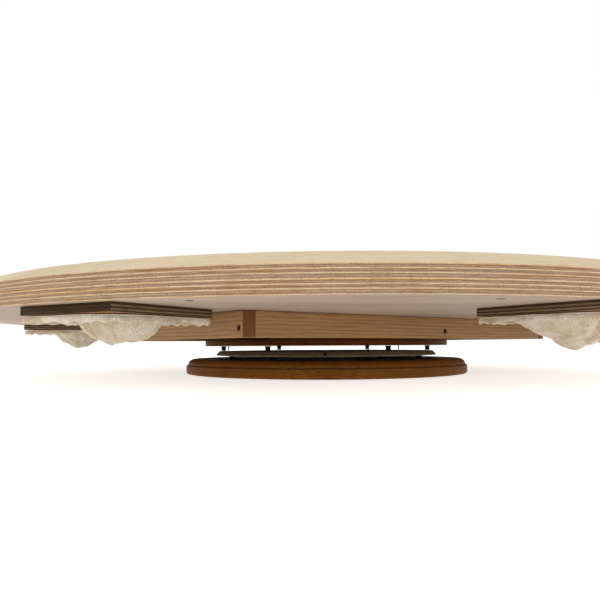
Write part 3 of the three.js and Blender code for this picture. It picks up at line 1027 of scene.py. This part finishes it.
# sag and half width of each belly in mm, how flat its bottom is, where its middle is, its hem's
# corners as squareness, and its folds as (angle, width, height)
bagShapes = [
    {"sag": 14.2, "belly": (26, 27), "flat": 3.0, "middle": (1, 1), "tight": {(1, -1): 3.0},
     "folds": [(205, 6, 2.6), (318, 5, 2.0), (250, 4, 1.4)]},
    {"sag": 21.4, "belly": (39, 38), "flat": 1.25, "middle": (2, -1), "tight": {(-1, -1): 3.4},
     "folds": [(200, 6, 3.0), (250, 4.5, 1.6), (290, 4, 1.3)]},
    {"sag": 18.0, "belly": (30, 31), "flat": 1.8, "middle": (-2, 2), "tight": {}, "folds": [(40, 5, 2.2)]},
    {"sag": 11.5, "belly": (26, 29), "flat": 2.2, "middle": (2, 0), "tight": {(1, 1): 3.5},
     "folds": [(150, 5, 1.8), (250, 4, 1.4)]},
    {"sag": 10.0, "belly": (27, 28), "flat": 1.8, "middle": (-1, -1), "tight": {}, "folds": [(75, 5, 1.6)]},
    {"sag": 19.6, "belly": (29, 30), "flat": 1.5, "middle": (0, 0), "tight": {(-1, 1): 4.0},
     "folds": [(185, 6, 3.0), (120, 5, 2.2), (245, 4, 1.8)]},
]
bagTop = levelsOf("bag_1")[1]
bagFloor = levelsOf("bag_1")[0]


# How far the hem reaches at an angle, as a share of its half size
def hemReach(angle, shape):
    c, s = math.cos(angle), math.sin(angle)
    corner = (1 if c > 0 else -1, 1 if s > 0 else -1)
    squareness = shape["tight"].get(corner, 40.0)
    return (abs(c) ** squareness + abs(s) ** squareness) ** (-1 / squareness)


# Where a point of the cut hangs before the cloth settles, in mm round the plate's middle
def hung(s, t, shape, seed):
    if s == 0 and t == 0:
        x, y = 0.0, 0.0
    else:
        angle = math.atan2(t, s)
        share = hemReach(angle, shape) * max(abs(math.cos(angle)), abs(math.sin(angle)))
        x, y = s * share * bag["half"][0], t * share * bag["half"][1]
    edge = max(abs(s), abs(t))
    dx = (x - shape["middle"][0]) / shape["belly"][0]
    dy = (y - shape["middle"][1]) / shape["belly"][1]
    turn = math.atan2(dy, dx)
    wobble = noise.noise(Vector((math.cos(turn) * 1.4, math.sin(turn) * 1.4, seed)))
    reach = math.hypot(dx, dy) / (1 + 0.16 * wobble)
    body = max(0.0, 1 - reach ** shape["flat"])
    body = body ** (1.15 if shape["flat"] < 2 else 0.8)
    # gathers run in from the hem and die out over the belly
    gather = math.sin(turn * 15 + 5 * wobble + seed) * math.exp(-((reach - 0.95) / 0.4) ** 2)
    small = noise.noise(Vector((x * 0.09, y * 0.09, seed * 3.1))) + 0.5 * noise.noise(
        Vector((x * 0.2, y * 0.2, seed * 5.3))
    )
    held = min(1.0, (1 - edge) * 9)
    depth = bag["drop"] * (1 + 0.5 * small) * held + (shape["sag"] - bag["drop"]) * body
    depth += (0.75 * gather + 0.9 * small * min(1, 1.4 - reach if reach < 1.4 else 0)) * held
    for place, width, height in shape["folds"]:
        out = math.radians(place)
        along = dx * math.cos(out) + dy * math.sin(out)
        aside = (-dx * math.sin(out) + dy * math.cos(out)) * shape["belly"][0]
        aside += 2.5 * math.sin(along * 2.4 + seed)
        if 0.12 < along < 1.5:
            ridge = max(0.0, 1 - abs(aside / width)) ** 0.6
            depth += height * ridge * min(1, (along - 0.12) * 5) * held
    return x, y, bagTop - 0.35 - min(max(depth, 0.15), bagTop - bagFloor - 0.9)


def bagMesh(name, shape, seed):
    across, along = bag["cells"]
    big = bag["enlarge"] * mm
    grid = bmesh.new()
    cut = grid.loops.layers.uv.new("cut")
    spots = {}
    for i in range(across + 1):
        for j in range(along + 1):
            s, t = 2 * i / across - 1, 2 * j / along - 1
            vert = grid.verts.new(Vector(hung(s, t, shape, seed)) * big)
            spots[vert] = (s * bag["flat"][0] / 2 * mm, t * bag["flat"][1] / 2 * mm)
    order = list(spots)
    for i in range(across):
        for j in range(along):
            first = i * (along + 1) + j
            face = grid.faces.new(
                (order[first], order[first + 1], order[first + along + 2], order[first + along + 1])
            )
            for loop in face.loops:
                loop[cut].uv = spots[loop.vert]
    bmesh.ops.recalc_face_normals(grid, faces=grid.faces)
    return meshFrom(grid, name)


bagSheets = []
bagPlaces = []
for count, shape in enumerate(bagShapes):
    middle = middleOf(f"plate_{count + 1}")
    turnBy = math.radians(plate["angles"][count])
    spot = Matrix.Translation(Vector((middle.x, middle.y, 0)) * mm)
    bagPlaces.append(spot @ Matrix.Rotation(turnBy, 4, "Z"))
    name = f"gauze_bag_{count + 1}"
    sheet = bpy.data.objects.new(name, bagMesh(name, shape, 7.3 + 2.9 * count))
    bpy.context.scene.collection.objects.link(sheet)
    sheet.location.x = bag["apart"] * count
    hold = sheet.vertex_groups.new(name="hold")
    across, along = bag["cells"]
    for i in range(across + 1):
        for j in range(along + 1):
            edge = max(abs(2 * i / across - 1), abs(2 * j / along - 1))
            rise = bag["heldRise"] * max(0, (edge - bag["heldFrom"]) / bag["heldBand"])
            weight = 1.0 if edge > bag["edgeHeld"] else bag["heldMiddle"] + rise
            hold.add([i * (along + 1) + j], weight, "REPLACE")
    bagSheets.append(sheet)

for sheet in bagSheets:
    cloth = sheet.modifiers.new("settling", "CLOTH")
    cloth.settings.quality = 6
    cloth.settings.mass = 0.12
    cloth.settings.tension_stiffness = 12
    cloth.settings.compression_stiffness = 6
    cloth.settings.shear_stiffness = 3
    cloth.settings.bending_stiffness = 0.12
    cloth.settings.air_damping = 3
    cloth.settings.shrink_min = bag["slack"]
    cloth.settings.vertex_group_mass = "hold"
    cloth.settings.pin_stiffness = 1
    cloth.collision_settings.use_collision = False
    cloth.point_cache.frame_start = 1
    cloth.point_cache.frame_end = bag["frames"]
for step in range(1, bag["frames"] + 1):
    bpy.context.scene.frame_set(step)
graph = bpy.context.evaluated_depsgraph_get()
for sheet in bagSheets:
    settled = sheet.evaluated_get(graph).to_mesh()
    moved = [vert.co.copy() for vert in settled.vertices]
    sheet.evaluated_get(graph).to_mesh_clear()
    sheet.modifiers.clear()
    for vert, co in zip(sheet.data.vertices, moved):
        shift = co - vert.co
        most = bag["cap"] * bag["enlarge"] * mm
        if shift.length > most:
            shift *= most / shift.length
        vert.co += shift
bpy.context.scene.frame_set(1)
print("cloth settled")

for count, sheet in enumerate(bagSheets):
    sheet.data.transform(Matrix.Scale(1 / bag["enlarge"], 4))
    for vert in sheet.data.vertices:
        vert.co.z = min(max(vert.co.z, (bagFloor + 0.5) * mm), (bagTop - 0.4) * mm)
    finer = sheet.modifiers.new("finer", "SUBSURF")
    finer.levels = finer.render_levels = 1
    thick = sheet.modifiers.new("thick", "SOLIDIFY")
    thick.thickness = bag["sheet"] * mm
    thick.offset = 0
    settle(sheet)
    sheet.vertex_groups.clear()
    sheet.location.x = 0
    sheet.matrix_world = bagPlaces[count]
    sheet.data.materials.append(gauze)
    sheet.data.shade_smooth()
    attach(sheet, "table")
    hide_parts(f"bag_{count + 1}")

# The hem: the cut's edge turned over twice, a flat uneven strip
hem = {"stations": 420, "tall": 2.9, "thick": 0.7, "gap": 1.1}


def hemMesh(name, shape, seed):
    body = bmesh.new()
    cut = body.loops.layers.uv.new("cut")
    section = [(-0.5, 0.5), (0.0, 0.62), (0.5, 0.5), (0.62, 0.1)]
    section += [(0.5, -0.42), (0.1, -0.56), (-0.4, -0.5), (-0.6, 0)]
    rings = []
    for station in range(hem["stations"]):
        angle = math.tau * station / hem["stations"]
        reach = hemReach(angle, shape)
        c, s = math.cos(angle), math.sin(angle)
        spot = Vector((c * reach * bag["half"][0], s * reach * bag["half"][1], 0))
        out = Vector((c, s, 0)).normalized()
        rough = noise.noise(spot * 0.16 + Vector((0, 0, seed)))
        fine = noise.noise(spot * 0.6 + Vector((0, 0, seed + 9)))
        tall = hem["tall"] * (1 + 0.34 * rough + 0.1 * fine)
        thickness = hem["thick"] * (1 + 0.6 * abs(rough) + 0.12 * fine)
        spot += out * (0.5 * rough + 0.12 * fine)
        centre = bagTop - hem["gap"] * (1 + 0.6 * rough) - tall * 0.62
        rings.append(
            [
                body.verts.new((spot + out * (a * thickness) + Vector((0, 0, centre + b * tall))) * mm)
                for a, b in section
            ]
        )
    for here, ring in enumerate(rings):
        after = rings[(here + 1) % len(rings)]
        for k in range(len(section)):
            up = (k + 1) % len(section)
            face = body.faces.new((ring[k], after[k], after[up], ring[up]))
            for loop in face.loops:
                u = here + (1 if loop.vert in after else 0)
                loop[cut].uv = (u * 0.7 * mm, k * 0.8 * mm)
    bmesh.ops.recalc_face_normals(body, faces=body.faces)
    return meshFrom(body, name)


for count, shape in enumerate(bagShapes):
    mesh = hemMesh(f"gauze_hem_{count + 1}", shape, 4.1 + 3.7 * count)
    edge = newPiece(mesh, "table", [gauzeHem], [], bagPlaces[count])
    smooth(edge, 60)
print("bags hung")

camera = {
    "place": (0, -626.9, 29.27),  # mm, just above the level of the bearing
    "left": 2.54,
    "up": 4.56,
    "roll": 0.3,
    "lens": 33.9,
}
eye = bpy.data.objects.new("camera", bpy.data.cameras.new("camera"))
bpy.context.scene.collection.objects.link(eye)
eye.location = Vector(camera["place"]) * mm
eye.rotation_euler = [math.radians(turn) for turn in (90 + camera["up"], camera["roll"], camera["left"])]
eye.data.lens = camera["lens"]
eye.data.sensor_width = 36
eye.data.clip_start = 0.01
bpy.context.scene.camera = eye

studio = {"room": 1.0, "floor": "#f6f5f3", "glow": 0.67, "top": 4, "front": 2, "floorLevel": -0.2}
shape = bmesh.new()
bmesh.ops.create_grid(shape, x_segments=8, y_segments=8, size=6)
floor = bpy.data.objects.new("floor", meshFrom(shape, "floor"))
bpy.context.scene.collection.objects.link(floor)
floor.location.z = studio["floorLevel"] * mm
paper, paperTree, paperShader = startMaterial(
    "paperMatt",
    {
        "Base Color": linearColour(studio["floor"]),
        "Roughness": 0.9,
        "Specular IOR Level": 0.0,
        "Emission Color": (1, 1, 1, 1),
        "Emission Strength": studio["glow"],
    },
)
floor.data.materials.append(paper)

world = bpy.data.worlds.new("softRoom")
world.use_nodes = True
world.node_tree.nodes["Background"].inputs["Color"].default_value = (1, 1, 1, 1)
world.node_tree.nodes["Background"].inputs["Strength"].default_value = studio["room"]
bpy.context.scene.world = world
bpy.context.scene.view_settings.view_transform = "Standard"


def softbox(name, place, aim, size, power):
    lamp = bpy.data.objects.new(name, bpy.data.lights.new(name, "AREA"))
    bpy.context.scene.collection.objects.link(lamp)
    lamp.location = place
    lamp.rotation_euler = (Vector(aim) - Vector(place)).to_track_quat("-Z", "Y").to_euler()
    lamp.data.size = size
    lamp.data.energy = power


softbox("topLight", (0.0, -0.2, 1.6), (0, 0, 0.07), 1.6, studio["top"])
softbox("frontLight", (-0.6, -1.6, 0.7), (0, 0, 0.05), 0.9, studio["front"])
print("stage set")
